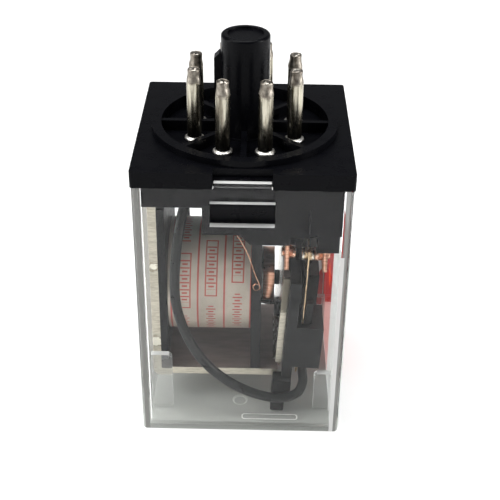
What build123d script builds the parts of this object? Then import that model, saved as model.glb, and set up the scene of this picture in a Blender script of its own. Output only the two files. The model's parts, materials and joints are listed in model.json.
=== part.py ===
from build123d import *
import math
import os

# Plug-in relay with an eight-pin octal base, two changeover poles and a clear clip-on cover.
# Millimetres. The origin is the centre of the cover's closed end, +Z points along the pins, +X from the
# yoke towards the armature, and the locating key faces -X. The two poles mirror each other in Y.

os.makedirs("parts", exist_ok=True)

# ---- shared: how far a cut runs past a face, how far joined features overlap ---------------------------
CUT_PAST = 1.0
JOIN_DEPTH = 0.1
EDGE_TOLERANCE = 1e-3

# ---- cover -------------------------------------------------------------------------------------------
COVER_WIDTH = 34.2
COVER_HEIGHT = 48.5
COVER_WALL = 1.3
COVER_CORNER = 0.7
COVER_INSIDE = COVER_WIDTH / 2 - COVER_WALL
WINDOW_WIDTH = 10.2
WINDOW_BOTTOM = 41.8
WINDOW_TOP = 45.9
COVER_TAB_WIDTH = 8.9
COVER_TAB_RISE = 1.0
COVER_TAB_THICK = 0.9
COVER_TAB_ROOT = 1.0
STOP_RIB_THICK = 1.2
STOP_RIB_Y = 11.8
LEFT_RIB_REACH = 3.7
LEFT_RIB_TOP = 13.2
RIGHT_RIB_REACH = 3.0
RIGHT_RIB_TOP = 9.6
FLOOR_MARK_LEFT = 0.1
FLOOR_MARK_RIGHT = 10.1
FLOOR_MARK_FRONT = -15.2
FLOOR_MARK_BACK = -13.6
FLOOR_MARK_ROUND = 0.6
FLOOR_MARK_LINE = 0.3
FLOOR_MARK_HEIGHT = 0.15
EJECTOR_X = -0.2
EJECTOR_Y = -9.8
EJECTOR_R = 1.2
RIB_ROUND = 0.8

# ---- base --------------------------------------------------------------------------------------------
PLATE_WIDTH = 34.5
PLATE_THICK = 2.7
PLATE_TOP = COVER_HEIGHT + PLATE_THICK
PLATE_CORNER = 0.5
RING_OUTER_R = 15.25
RING_INNER_R = 13.65
RING_TOP = PLATE_TOP + 1.1
RING_ROOT = 0.5
DISH_FLOOR = 50.2
DISH_RIB_WIDTH = 0.9
DISH_RIB_DROP = 0.3
DISH_RIB_TOP = RING_TOP - DISH_RIB_DROP
DISH_RIB_ROOT = 0.3
DISH_RIBS = 8
POST_R = 3.9
POST_ROOT_R = 3.97
POST_TOP = 67.0
POST_ROUND = 0.45
POST_HOLLOW_R = 2.9
POST_HOLLOW_DEPTH = 0.35
COLLAR_R = 4.35
COLLAR_HEIGHT = 0.3
KEY_REACH = 4.95
KEY_WIDTH = 2.0
KEY_TOP = 64.0
KEY_DROP = 0.1
POST_EMBED = 0.5
KEY_CHAMFER = 0.8
NOTCH_WIDTH = 9.2
NOTCH_DEPTH = 1.8
NOTCH_FLOOR = 49.8
SKIRT_GAP = 0.1
SKIRT_OUT = COVER_INSIDE - SKIRT_GAP
SKIRT_WALL = 1.4
SKIRT_BOTTOM = 44.6
LATCH_WIDTH = 12.6
LATCH_BOTTOM = 39.8
LATCH_WEDGE_WIDTH = 9.9
LATCH_WEDGE_REACH = 1.0
LATCH_WEDGE_GAP = 0.15
LATCH_WEDGE_LIP = 0.75
NO_BLOCK_LEFT = -1.8
NO_BLOCK_RIGHT = 7.7
NO_BLOCK_BOTTOM = 35.7
NO_BLOCK_SLANT = 3.4
NO_BLOCK_KNEE = 1.24
NO_BLOCK_WALL = 1.4
BLOCK_HALF = 12.0
NC_BLOCK_LEFT = 12.2
NC_BLOCK_BOTTOM = 34.4
YOKE_BLOCK_REACH = 1.2
YOKE_BLOCK_BOTTOM = SKIRT_BOTTOM + 0.4
CHEEK_LEFT = 10.6
CHEEK_BOTTOM = 39.8
APRON_FRONT = 14.5
APRON_BOTTOM = 38.6
FLANGE_TOP_GAP = 0.05

# ---- pins --------------------------------------------------------------------------------------------
PIN_CIRCLE = 17.45
PIN_COUNT = 8
PIN_FIRST_ANGLE = 180 + 180 / PIN_COUNT
PIN_R = 1.18
PIN_SHANK_R = 1.02
PIN_ENTRY_R = 0.6
PIN_ENTRY_TOP = 50.4
PIN_BORE_R = 0.85
PIN_BOTTOM = 46.8
PIN_WELL_BOTTOM = 38.8
PIN_TOP = 62.5
PIN_NECK = 1.9
PIN_NECK_R = 0.98
PIN_NECK_SLANT = 0.4
PIN_NECK_WALL = 0.13
SOLDER_CAP = 0.35
SOLDER_ROUND = 0.25
PIN_CLEARANCE = 0.1
PIN_FLANGE_R = 1.62
PIN_FLANGE_THICK = 0.55
SOLDER_DEPTH = 3.0

# ---- yoke --------------------------------------------------------------------------------------------
YOKE_HALF_WIDTH = 9.9
YOKE_THICK = 1.5
YOKE_LEFT = -15.6
YOKE_BOTTOM = 7.2
YOKE_TOP = 47.6
YOKE_TANG_HALF = 6.0
YOKE_BEND_R = 1.25
YOKE_EAR_END = 6.4
YOKE_NOTCH_HALF = 7.1
LEG_TOP = YOKE_BOTTOM + YOKE_THICK
SPRING_Z = 4.7
SPRING_HOLE_R = 0.45
SPRING_HOOK_X = -4.6
SPRING_HOOK_THICK = 1.0
SPRING_HOOK_HALF = 1.6
SPRING_HOOK_BOTTOM = 3.5

# ---- armature and its hinge --------------------------------------------------------------------------
PIVOT_X = 5.8
PIVOT_Z = LEG_TOP
REST_TILT = 3.35
KNIFE_GAP = 0.12
ARMATURE_THICK = 1.15
ARMATURE_TOP = 28.2
ARMATURE_SHOULDER = PIVOT_Z + 1.2
ARMATURE_ROUND = 0.5
TONGUE_HALF = 6.9
TAIL_HALF = 2.0
TAIL_BOTTOM = SPRING_Z - 1.0

# ---- coil --------------------------------------------------------------------------------------------
COIL_Z = 22.5
CORE_R = 4.0
POLE_R = 4.8
POLE_FLAT = 4.1
POLE_FACE_X = 5.55
RING_THICK = 2.0
RING_CHORD = 1.9
RING_WALL = 0.9
TUBE_R = 5.1
CORE_GAP = 0.05
LEFT_FLANGE_X = YOKE_LEFT + YOKE_THICK
LEFT_FLANGE_THICK = 1.3
RIGHT_FLANGE_X = 1.54
RIGHT_FLANGE_THICK = 1.7
FLANGE_HALF = 9.9
LEFT_FLANGE_BOTTOM = 10.6
LEFT_FLANGE_TOP = 40.8
RIGHT_FLANGE_TOP = NO_BLOCK_BOTTOM - FLANGE_TOP_GAP
WINDING_R = 9.3
TAPE_R = 9.9
COIL_LEFT = LEFT_FLANGE_X + LEFT_FLANGE_THICK
PEG_R = 0.45
PEG_Z = 26.4
PEG_REACH = 0.7
TAPE_END_GAP = 0.1
COIL_WIRE_R = 0.14

# ---- carrier on the armature (drawn upright, then leaned with the armature) --------------------------
CARRIER_X = PIVOT_X + ARMATURE_THICK
CARRIER_PLATE = 1.8
CARRIER_HALF = 12.0
CARRIER_TOP = 28.4
FOOT_LEFT = 5.55
FOOT_TIP_RIGHT = 7.9
FOOT_HALF = 13.2
FOOT_INNER = 10.5
FOOT_TOP = 8.6
FOOT_STEP = 4.4
FOOT_BOTTOM = 2.0
FOOT_ROUND = 0.3
PLATE_BOTTOM = FOOT_TOP + 1.0
POLE_BLOCK_RIGHT = 13.4
POLE_BLOCK_BOTTOM = 11.0
POLE_BLOCK_TOP = 19.4
POLE_BLOCK_INNER = 4.6
BACKING_LEFT = 10.15
BACKING_RIGHT = 11.3
BACKING_TOP = 23.5
BACKING_DEPTH = 1.2
BARRIER_HALF = 4.5
BARRIER_BOTTOM = 12.0
BARRIER_TOP = 33.0
BARRIER_EDGE = [
    (10.9, BARRIER_BOTTOM),
    (10.9, 22.6),
    (10.3, 26.6),
    (11.3, 30.0),
    (11.3, BARRIER_TOP),
    (9.0, BARRIER_TOP),
    (8.0, CARRIER_TOP),
]
PEG_HEAD_R = 1.35
PEG_HEAD = 0.75
PEG_SHANK_R = 0.9
CARRIER_PEG_Y = 5.0
CARRIER_PEG_Z = 18.3

# ---- contacts ----------------------------------------------------------------------------------------
POLE_Y = 8.0
BLADE_WIDTH = 5.0
BLADE_THICK = 0.25
BLADE_ROUND = 1.0
BLADE_LINE = [(9.57, 8.3), (9.95, 11.0), (10.45, 19.4), (10.92, 31.75), (10.99, 33.8)]
CONTACT_Z = 31.75
CONTACT_X = 10.92
CONTACT_R = 1.1
CONTACT_HEAD = 0.9
CONTACT_SHANK_R = 0.5
CONTACT_HOLE_R = 0.56
BLADE_RUN_X = BLADE_LINE[3][0] - BLADE_LINE[2][0]
BLADE_RUN_Z = BLADE_LINE[3][1] - BLADE_LINE[2][1]
CONTACT_TILT = math.degrees(math.atan2(BLADE_RUN_X, BLADE_RUN_Z))
BLADE_FACE_GAP = 0.02
DOME = 0.14
STRIP_WIDTH = 4.4
STRIP_THICK = 0.75
STRIP_ROUND = 0.6
NO_STRIP_X = 6.95
NO_STRIP_BOTTOM = 29.5
NO_CONTACT_Z = 32.1
NO_FACE_X = 8.82
NC_STRIP_X = 13.32
NC_STRIP_BOTTOM = 29.2
NC_FACE_X = 12.05
RIVET_TAIL = 0.5
RIVET_TAIL_R = 0.8
STRIP_TOP = 46.6
TAIL_R = 0.5
TAIL_RISE = 3.4

# ---- leads and return spring -------------------------------------------------------------------------
LEAD_R = 0.85
LEAD_ROUTE = [
    (-8.06, -3.34, 45.95),
    (-8.3, -6.4, 44.2),
    (-9.4, -10.2, 41.9),
    (-10.4, -12.6, 37.3),
    (-11.0, -13.1, 31.4),
    (-11.0, -13.3, 25.2),
    (-9.6, -13.5, 19.2),
    (-6.9, -13.9, 13.9),
    (-2.8, -14.3, 9.7),
    (2.2, -14.6, 7.0),
    (6.6, -14.6, 6.0),
    (9.7, -13.9, 6.5),
    (10.8, -12.2, 7.6),
    (10.75, -10.4, 8.5),
    (10.7, -8.9, 8.8),
]
LEAD_ARC_SHARE = 0.45
COIL_LEAD_ROUTE = [
    (-3.34, -8.06, 45.9),
    (-2.9, -8.6, 43.4),
    (-2.3, -10.1, 38.6),
    (-0.6, -10.4, 36.0),
    (1.0, -10.35, 32.6),
    (2.1, -10.3, 29.2),
    (2.36, -10.25, 27.5),
]
SPRING_R = 1.0
SPRING_WIRE_R = 0.16
SPRING_START = SPRING_HOOK_X + 1.4
SPRING_END = PIVOT_X - 1.6
SPRING_CAP = 0.5
SPRING_LEFT = SPRING_HOOK_X - 0.9
SPRING_RIGHT = PIVOT_X + ARMATURE_THICK + 0.1

# ---- label -------------------------------------------------------------------------------------------
LABEL_THICK = 0.1
LABEL_BOTTOM = 0.9
LABEL_TOP = 36.5
LABEL_FRONT = 16.9
LABEL_BACK_REACH = 9.5


def save(shape, node):
    """Write one node's solids."""
    export_step(shape, f"parts/{node}.step")


def block(x0, x1, y0, y1, z0, z1):
    """Box between two corners."""
    return Pos((x0 + x1) / 2, (y0 + y1) / 2, (z0 + z1) / 2) * Box(x1 - x0, y1 - y0, z1 - z0)


def rod(radius, z0, z1, x=0.0, y=0.0):
    """Upright round bar."""
    return Pos(x, y, (z0 + z1) / 2) * Cylinder(radius, z1 - z0)


def rod_x(radius, x0, x1, y=0.0, z=0.0):
    """Round bar along X."""
    return Pos((x0 + x1) / 2, y, z) * Rot(0, 90, 0) * Cylinder(radius, x1 - x0)


def slab_xz(points, y0, y1):
    """Outline in the XZ plane, as thick as y0 to y1."""
    face = make_face(Polyline(*[(x, y0, z) for x, z in points], close=True))
    return extrude(face, amount=y1 - y0, dir=(0, 1, 0))


def mirrored(shape):
    """The same piece on the rear pole."""
    return mirror(shape, about=Plane.XZ)


def both(shape):
    """A feature and its mirror image at the other pole."""
    return shape + mirrored(shape)


def vertical_edges(shape):
    return shape.edges().filter_by(Axis.Z)


def edges_at(shape, x, z):
    """Straight edges along Y at one place in the XZ plane."""
    return [e for e in shape.edges().filter_by(Axis.Y)
            if abs(e.center().X - x) < EDGE_TOLERANCE and abs(e.center().Z - z) < EDGE_TOLERANCE]


def leaned(shape):
    """Lean an upright piece of the armature to its rest angle about the hinge."""
    pivot = Pos(PIVOT_X, 0, PIVOT_Z)
    return pivot * Rot(0, REST_TILT, 0) * pivot.inverse() * shape


def tube_path(points):
    """Straight runs joined by tangent arcs as large as the runs allow."""
    corners = [Vector(p) for p in points]
    radii = []
    for before, here, after in zip(corners, corners[1:], corners[2:]):
        run = min((here - before).length, (after - here).length)
        turn = math.radians((here - before).get_angle(after - here))
        radii.append(LEAD_ARC_SHARE * run / math.tan(turn / 2))
    return FilletPolyline(*points, radius=radii), radii


def tube(points, radius, name):
    """Round lead along a route, checked against its section times its length."""
    path, radii = tube_path(points)
    solid = sweep(Plane(path @ 0, z_dir=path % 0) * Circle(radius), path=path)
    expected = math.pi * radius ** 2 * path.length
    print(f"{name}: length {path.length:.1f} mm, least bend {min(radii):.2f} mm, "
          f"volume ratio {solid.volume / expected:.4f}")
    return solid


def pin_place(index):
    angle = math.radians(PIN_FIRST_ANGLE + index * 360 / PIN_COUNT)
    return PIN_CIRCLE / 2 * math.cos(angle), PIN_CIRCLE / 2 * math.sin(angle)


# ---- cover -------------------------------------------------------------------------------------------
def stop_rib(x0, x1, top):
    """Upright rib with one rounded top corner."""
    rib = block(x0, x1, -STOP_RIB_Y - STOP_RIB_THICK / 2, -STOP_RIB_Y + STOP_RIB_THICK / 2, COVER_WALL, top)
    inner_x = x1 if x0 < 0 else x0
    return fillet(edges_at(rib, inner_x, top), RIB_ROUND)


def make_cover():
    half = COVER_WIDTH / 2
    shell = block(-half, half, -half, half, 0, COVER_HEIGHT)
    shell = fillet(vertical_edges(shell), COVER_CORNER)
    shell = fillet(shell.faces().sort_by(Axis.Z)[0].edges(), COVER_CORNER / 2)
    inside = block(-COVER_INSIDE, COVER_INSIDE, -COVER_INSIDE, COVER_INSIDE, COVER_WALL,
                   COVER_HEIGHT + CUT_PAST)
    inside = fillet(vertical_edges(inside), COVER_CORNER / 2)
    shell -= inside
    tab = block(-COVER_TAB_WIDTH / 2, COVER_TAB_WIDTH / 2, -half, -half + COVER_TAB_THICK,
                COVER_HEIGHT - COVER_TAB_ROOT, COVER_HEIGHT + COVER_TAB_RISE)
    shell += both(tab)
    window = block(-WINDOW_WIDTH / 2, WINDOW_WIDTH / 2, -half - CUT_PAST, half + CUT_PAST, WINDOW_BOTTOM,
                   WINDOW_TOP)
    shell -= window
    left = stop_rib(-COVER_INSIDE - JOIN_DEPTH, -COVER_INSIDE + LEFT_RIB_REACH, LEFT_RIB_TOP)
    right = stop_rib(COVER_INSIDE - RIGHT_RIB_REACH, COVER_INSIDE + JOIN_DEPTH, RIGHT_RIB_TOP)
    shell -= rod(EJECTOR_R, COVER_WALL - FLOOR_MARK_HEIGHT, COVER_WALL + CUT_PAST, EJECTOR_X, EJECTOR_Y)
    return shell + both(left) + both(right) + floor_mark()


def floor_mark_plate(inset):
    plate = block(FLOOR_MARK_LEFT + inset, FLOOR_MARK_RIGHT - inset, FLOOR_MARK_FRONT + inset,
                  FLOOR_MARK_BACK - inset, COVER_WALL - FLOOR_MARK_HEIGHT, COVER_WALL + FLOOR_MARK_HEIGHT)
    return fillet(vertical_edges(plate), FLOOR_MARK_ROUND - inset)


def floor_mark():
    """Raised outline of a rounded rectangle on the floor of the cover."""
    return floor_mark_plate(0) - floor_mark_plate(FLOOR_MARK_LINE)


# ---- base --------------------------------------------------------------------------------------------
def base_plate():
    half = PLATE_WIDTH / 2
    plate = block(-half, half, -half, half, COVER_HEIGHT, PLATE_TOP)
    plate = fillet(vertical_edges(plate), PLATE_CORNER)
    plate += rod(RING_OUTER_R, PLATE_TOP - RING_ROOT, RING_TOP)
    plate -= rod(RING_INNER_R, DISH_FLOOR, RING_TOP + CUT_PAST)
    for side in (-1, 1):
        y_edge = side * half
        y_in = side * (half - NOTCH_DEPTH)
        y_tab = side * (COVER_WIDTH / 2 - COVER_TAB_THICK - SKIRT_GAP)
        y0, y1 = sorted((y_in, y_edge + side))
        plate -= block(-NOTCH_WIDTH / 2, NOTCH_WIDTH / 2, y0, y1, NOTCH_FLOOR, PLATE_TOP + CUT_PAST) - rod(
            RING_OUTER_R, 0, RING_TOP + CUT_PAST)
        y0, y1 = sorted((y_tab, y_edge + side))
        plate -= block(-NOTCH_WIDTH / 2, NOTCH_WIDTH / 2, y0, y1, COVER_HEIGHT - CUT_PAST,
                       RING_TOP + CUT_PAST)
    return plate


def base_ribs():
    """Radial ribs across the dish, between the pins."""
    ribs = None
    for i in range(DISH_RIBS):
        rib = block(POST_R - CUT_PAST, RING_INNER_R + DISH_RIB_ROOT, -DISH_RIB_WIDTH / 2,
                    DISH_RIB_WIDTH / 2, DISH_FLOOR - DISH_RIB_ROOT, DISH_RIB_TOP)
        rib = Rot(0, 0, i * 360 / DISH_RIBS) * rib
        ribs = rib if ribs is None else ribs + rib
    return ribs


def base_post():
    """Hollow-topped locating post with its key and the collar at its root."""
    draft_height = KEY_TOP - DISH_FLOOR + POST_EMBED
    drafted = Pos(0, 0, DISH_FLOOR - POST_EMBED) * Cone(
        POST_ROOT_R, POST_R, draft_height, align=(Align.CENTER, Align.CENTER, Align.MIN))
    tip = rod(POST_R, KEY_TOP, POST_TOP)
    tip = fillet(tip.faces().sort_by(Axis.Z)[-1].edges(), POST_ROUND)
    post = drafted + tip
    post -= rod(POST_HOLLOW_R, POST_TOP - POST_HOLLOW_DEPTH, POST_TOP + CUT_PAST)
    key_top = KEY_TOP - KEY_DROP
    key = block(-KEY_REACH, -POST_R + CUT_PAST, -KEY_WIDTH / 2, KEY_WIDTH / 2, DISH_FLOOR - POST_EMBED,
                key_top)
    key = chamfer(edges_at(key, -KEY_REACH, key_top), KEY_CHAMFER)
    return post + key + rod(COLLAR_R, DISH_FLOOR - POST_EMBED, DISH_FLOOR + COLLAR_HEIGHT)


def base_skirt():
    """Hollow skirt inside the cover, deeper beside the contacts."""
    out = SKIRT_OUT
    inner = out - SKIRT_WALL
    skirt = block(-out, out, -out, out, SKIRT_BOTTOM, COVER_HEIGHT)
    skirt += block(CHEEK_LEFT, out, -out, out, CHEEK_BOTTOM, COVER_HEIGHT)
    skirt -= block(-inner, inner, -inner, inner, 0, COVER_HEIGHT)
    return skirt + both(block(CHEEK_LEFT, out, -out, -BLOCK_HALF, CHEEK_BOTTOM, COVER_HEIGHT))


def base_latches():
    """Front and back latch tabs with their wedges in the cover's windows."""
    out = SKIRT_OUT
    tab = block(-LATCH_WIDTH / 2, LATCH_WIDTH / 2, -out, -out + SKIRT_WALL, LATCH_BOTTOM, COVER_HEIGHT)
    root_y = -out + JOIN_DEPTH
    tip_y = -out - LATCH_WEDGE_REACH
    wedge_top = WINDOW_TOP - LATCH_WEDGE_GAP
    wedge_points = [
        (root_y, WINDOW_BOTTOM + LATCH_WEDGE_GAP),
        (tip_y, wedge_top - LATCH_WEDGE_LIP),
        (tip_y, wedge_top),
        (root_y, wedge_top),
    ]
    x0 = -LATCH_WEDGE_WIDTH / 2
    face = make_face(Polyline(*[(x0, y, z) for y, z in wedge_points], close=True))
    wedge = extrude(face, amount=LATCH_WEDGE_WIDTH, dir=(1, 0, 0))
    return both(tab + wedge)


def base_aprons():
    """Thin walls in front of and behind the fixed terminals, between the latch tabs and the cheeks."""
    return both(block(LATCH_WIDTH / 2 - JOIN_DEPTH, CHEEK_LEFT + JOIN_DEPTH, -APRON_FRONT,
                      -APRON_FRONT + SKIRT_WALL, APRON_BOTTOM, COVER_HEIGHT))


def base_blocks():
    """Blocks under the plate that hold the fixed terminals and the yoke."""
    no_points = [
        (NO_BLOCK_LEFT, COVER_HEIGHT),
        (NO_BLOCK_LEFT, NO_BLOCK_BOTTOM + NO_BLOCK_SLANT),
        (NO_BLOCK_KNEE, NO_BLOCK_BOTTOM),
        (NO_BLOCK_RIGHT, NO_BLOCK_BOTTOM),
        (NO_BLOCK_RIGHT, COVER_HEIGHT),
    ]
    blocks = slab_xz(no_points, -BLOCK_HALF, BLOCK_HALF)
    blocks += block(NC_BLOCK_LEFT, SKIRT_OUT, -BLOCK_HALF, BLOCK_HALF, NC_BLOCK_BOTTOM, COVER_HEIGHT)
    yoke_block_right = YOKE_LEFT + YOKE_THICK + YOKE_BLOCK_REACH
    blocks += block(-SKIRT_OUT, yoke_block_right, -SKIRT_OUT, SKIRT_OUT, YOKE_BLOCK_BOTTOM, COVER_HEIGHT)
    hollow_half = BLOCK_HALF - NO_BLOCK_WALL
    hollow = block(NO_BLOCK_LEFT + NO_BLOCK_WALL, NO_STRIP_X - NO_BLOCK_WALL, -hollow_half, hollow_half,
                   NO_BLOCK_BOTTOM + NO_BLOCK_WALL, COVER_HEIGHT)
    return blocks - hollow


def make_base(embedded):
    """The whole moulding, closed round the pieces that it holds."""
    base = base_plate() + base_ribs() + base_post()
    base += base_skirt() + base_latches() + base_aprons() + base_blocks()
    for piece in embedded:
        base -= piece
    return base


# ---- pins --------------------------------------------------------------------------------------------
def make_pin(index):
    """Pin: shank in the base with an entry hole below, rolled flange on the dish floor, straight body, and
    a drawn-in tip with a bore for the solder."""
    x, y = pin_place(index)
    shoulder = PIN_TOP - PIN_NECK
    bore_floor = shoulder - SOLDER_DEPTH
    outline = [
        (PIN_ENTRY_R, PIN_BOTTOM),
        (PIN_SHANK_R, PIN_BOTTOM),
        (PIN_SHANK_R, DISH_FLOOR),
        (PIN_FLANGE_R, DISH_FLOOR),
        (PIN_FLANGE_R, DISH_FLOOR + PIN_FLANGE_THICK),
        (PIN_R, DISH_FLOOR + PIN_FLANGE_THICK),
        (PIN_R, shoulder),
        (PIN_NECK_R, shoulder + PIN_NECK_SLANT),
        (PIN_NECK_R, PIN_TOP - SOLDER_CAP),
        (PIN_NECK_R - PIN_NECK_WALL, PIN_TOP - SOLDER_CAP),
        (PIN_BORE_R, shoulder),
        (PIN_BORE_R, bore_floor),
        (0, bore_floor),
        (0, PIN_ENTRY_TOP),
        (PIN_ENTRY_R, PIN_ENTRY_TOP),
    ]
    face = make_face(Polyline(*[(r, 0, z) for r, z in outline], close=True))
    return Pos(x, y, 0) * revolve(face, Axis.Z)


def make_solder(index):
    """Solder that closes the pin's tip, with a domed end."""
    x, y = pin_place(index)
    shoulder = PIN_TOP - PIN_NECK
    cap_bottom = PIN_TOP - SOLDER_CAP
    bead = rod(PIN_BORE_R, shoulder - SOLDER_DEPTH, shoulder, x, y)
    plug = rod(PIN_NECK_R - PIN_NECK_WALL, shoulder, cap_bottom, x, y)
    cap = rod(PIN_NECK_R, cap_bottom, PIN_TOP, x, y)
    cap = fillet(cap.faces().sort_by(Axis.Z)[-1].edges(), SOLDER_ROUND)
    return bead + plug + cap


# ---- yoke and coil -----------------------------------------------------------------------------------
def make_yoke():
    """L-shaped steel frame: upright held in the base, leg with a notch and two ears for the armature."""
    half = YOKE_HALF_WIDTH
    right = YOKE_LEFT + YOKE_THICK
    upright = block(YOKE_LEFT, right, -half, half, YOKE_BOTTOM, SKIRT_BOTTOM)
    upright += block(YOKE_LEFT, right, -YOKE_TANG_HALF, YOKE_TANG_HALF, YOKE_BOTTOM, YOKE_TOP)
    leg = block(YOKE_LEFT, YOKE_EAR_END, -half, half, YOKE_BOTTOM, LEG_TOP)
    knife_x = PIVOT_X - KNIFE_GAP
    leg -= block(knife_x, YOKE_EAR_END + CUT_PAST, -YOKE_NOTCH_HALF, YOKE_NOTCH_HALF,
                 YOKE_BOTTOM - CUT_PAST, LEG_TOP + CUT_PAST)
    yoke = upright + leg
    yoke = fillet(edges_at(yoke, YOKE_LEFT, YOKE_BOTTOM), YOKE_BEND_R)
    hook_left = SPRING_HOOK_X - SPRING_HOOK_THICK / 2
    hook_right = SPRING_HOOK_X + SPRING_HOOK_THICK / 2
    hook = block(hook_left, hook_right, -SPRING_HOOK_HALF, SPRING_HOOK_HALF, SPRING_HOOK_BOTTOM,
                 YOKE_BOTTOM + JOIN_DEPTH)
    hook -= rod_x(SPRING_HOLE_R, hook_left - CUT_PAST, hook_right + CUT_PAST, 0, SPRING_Z)
    stake_hole = rod_x(CORE_R, YOKE_LEFT - CUT_PAST, right + CUT_PAST, 0, COIL_Z)
    return yoke + hook - stake_hole


def flatted_bar(radius, front, rear, x0, x1):
    """Round bar on the coil's axis, cut flat in front of and behind the axis."""
    return rod_x(radius, x0, x1, 0, COIL_Z) & block(x0, x1, -front, rear, COIL_Z - radius, COIL_Z + radius)


def ring_shape(x0, x1):
    """D-shaped loop round the larger part of the pole."""
    hole = flatted_bar(POLE_R - RING_WALL, POLE_FLAT - RING_WALL, RING_CHORD - RING_WALL,
                       x0 - CUT_PAST, x1 + CUT_PAST)
    return flatted_bar(POLE_R, POLE_FLAT, RING_CHORD, x0, x1) - hole


def make_core():
    """Core staked into the yoke, with a slotted pole face for the shading ring."""
    pole_left = RIGHT_FLANGE_X + RIGHT_FLANGE_THICK + CORE_GAP
    core = rod_x(CORE_R, YOKE_LEFT, pole_left + JOIN_DEPTH, 0, COIL_Z)
    core += flatted_bar(POLE_R, POLE_FLAT, POLE_R, pole_left, POLE_FACE_X)
    return core - ring_shape(POLE_FACE_X - RING_THICK, POLE_FACE_X + CUT_PAST)


def make_shading_ring():
    return ring_shape(POLE_FACE_X - RING_THICK, POLE_FACE_X - CORE_GAP)


def make_bobbin():
    """Coil former: tube, two flanges and a peg at each side for the lead ends."""
    right_end = RIGHT_FLANGE_X + RIGHT_FLANGE_THICK
    bobbin = rod_x(TUBE_R, LEFT_FLANGE_X, right_end, 0, COIL_Z)
    bobbin += block(LEFT_FLANGE_X, COIL_LEFT, -FLANGE_HALF, FLANGE_HALF, LEFT_FLANGE_BOTTOM,
                    LEFT_FLANGE_TOP)
    bobbin += block(RIGHT_FLANGE_X, right_end, -FLANGE_HALF, FLANGE_HALF, LEG_TOP, RIGHT_FLANGE_TOP)
    bobbin -= rod_x(CORE_R + CORE_GAP, LEFT_FLANGE_X - CUT_PAST, right_end + CUT_PAST, 0, COIL_Z)
    peg = Pos(RIGHT_FLANGE_X + RIGHT_FLANGE_THICK / 2, -FLANGE_HALF, PEG_Z) * Rot(90, 0, 0) * Cylinder(
        PEG_R, 2 * PEG_REACH)
    return bobbin + both(peg)


def make_winding():
    return rod_x(WINDING_R, COIL_LEFT, RIGHT_FLANGE_X, 0, COIL_Z) - rod_x(
        TUBE_R, COIL_LEFT - CUT_PAST, RIGHT_FLANGE_X + CUT_PAST, 0, COIL_Z)


def make_tape():
    return rod_x(TAPE_R, COIL_LEFT + TAPE_END_GAP, RIGHT_FLANGE_X - TAPE_END_GAP, 0, COIL_Z) - rod_x(
        WINDING_R, COIL_LEFT - CUT_PAST, RIGHT_FLANGE_X + CUT_PAST, 0, COIL_Z)


# ---- armature and carrier ----------------------------------------------------------------------------
def upright_armature():
    """Clapper plate with a narrow tongue between the yoke's ears and a tail for the spring."""
    x0, x1 = PIVOT_X, PIVOT_X + ARMATURE_THICK
    plate = block(x0, x1, -YOKE_HALF_WIDTH, YOKE_HALF_WIDTH, ARMATURE_SHOULDER, ARMATURE_TOP)
    plate = fillet(plate.edges().filter_by(Axis.X), ARMATURE_ROUND)
    plate += block(x0, x1, -TONGUE_HALF, TONGUE_HALF, YOKE_BOTTOM, ARMATURE_SHOULDER + CUT_PAST)
    plate += block(x0, x1, -TAIL_HALF, TAIL_HALF, TAIL_BOTTOM, YOKE_BOTTOM + CUT_PAST)
    plate -= rod_x(SPRING_HOLE_R, x0 - CUT_PAST, x1 + CUT_PAST, 0, SPRING_Z)
    for side in (-1, 1):
        plate -= rod_x(PEG_SHANK_R, x0 - CUT_PAST, x1 + CUT_PAST, side * CARRIER_PEG_Y, CARRIER_PEG_Z)
    return plate


def carrier_foot():
    """Foot in front of the yoke's leg, which keeps the lead away from the hinge."""
    foot = block(FOOT_LEFT, CARRIER_X + CARRIER_PLATE, -FOOT_HALF, -FOOT_INNER, FOOT_STEP, FOOT_TOP)
    foot += block(FOOT_LEFT, FOOT_TIP_RIGHT, -FOOT_HALF, -FOOT_INNER, FOOT_BOTTOM, FOOT_STEP)
    foot = fillet(foot.edges().filter_by(Axis.Y), FOOT_ROUND)
    foot += block(CARRIER_X + JOIN_DEPTH, CARRIER_X + CARRIER_PLATE, -CARRIER_HALF, -FOOT_INNER,
                  FOOT_TOP - CUT_PAST, PLATE_BOTTOM + CUT_PAST)
    return foot


def carrier_pole():
    """Block that the blade is moulded into, with the post that backs the blade."""
    right = CARRIER_X + CARRIER_PLATE
    pole = block(right - JOIN_DEPTH, POLE_BLOCK_RIGHT, -CARRIER_HALF, -POLE_BLOCK_INNER,
                 POLE_BLOCK_BOTTOM, POLE_BLOCK_TOP)
    backing_front = -POLE_Y - BLADE_WIDTH / 2
    pole += block(BACKING_LEFT, BACKING_RIGHT, backing_front, backing_front + BACKING_DEPTH,
                  POLE_BLOCK_TOP - CUT_PAST, BACKING_TOP)
    return pole


def carrier_barrier():
    """Insulating wall between the two poles."""
    root_x = CARRIER_X + JOIN_DEPTH
    outline = [(root_x, BARRIER_BOTTOM)] + BARRIER_EDGE + [(root_x, CARRIER_TOP)]
    return slab_xz(outline, -BARRIER_HALF, BARRIER_HALF)


def upright_carrier():
    right = CARRIER_X + CARRIER_PLATE
    plate = block(CARRIER_X, right, -CARRIER_HALF, CARRIER_HALF, PLATE_BOTTOM, CARRIER_TOP)
    carrier = plate + carrier_barrier() + both(carrier_pole()) + both(carrier_foot())
    for side in (-1, 1):
        y = side * CARRIER_PEG_Y
        carrier += rod_x(PEG_SHANK_R, PIVOT_X, CARRIER_X + JOIN_DEPTH, y, CARRIER_PEG_Z)
        carrier += rod_x(PEG_HEAD_R, PIVOT_X - PEG_HEAD, PIVOT_X, y, CARRIER_PEG_Z)
    return carrier


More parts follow.
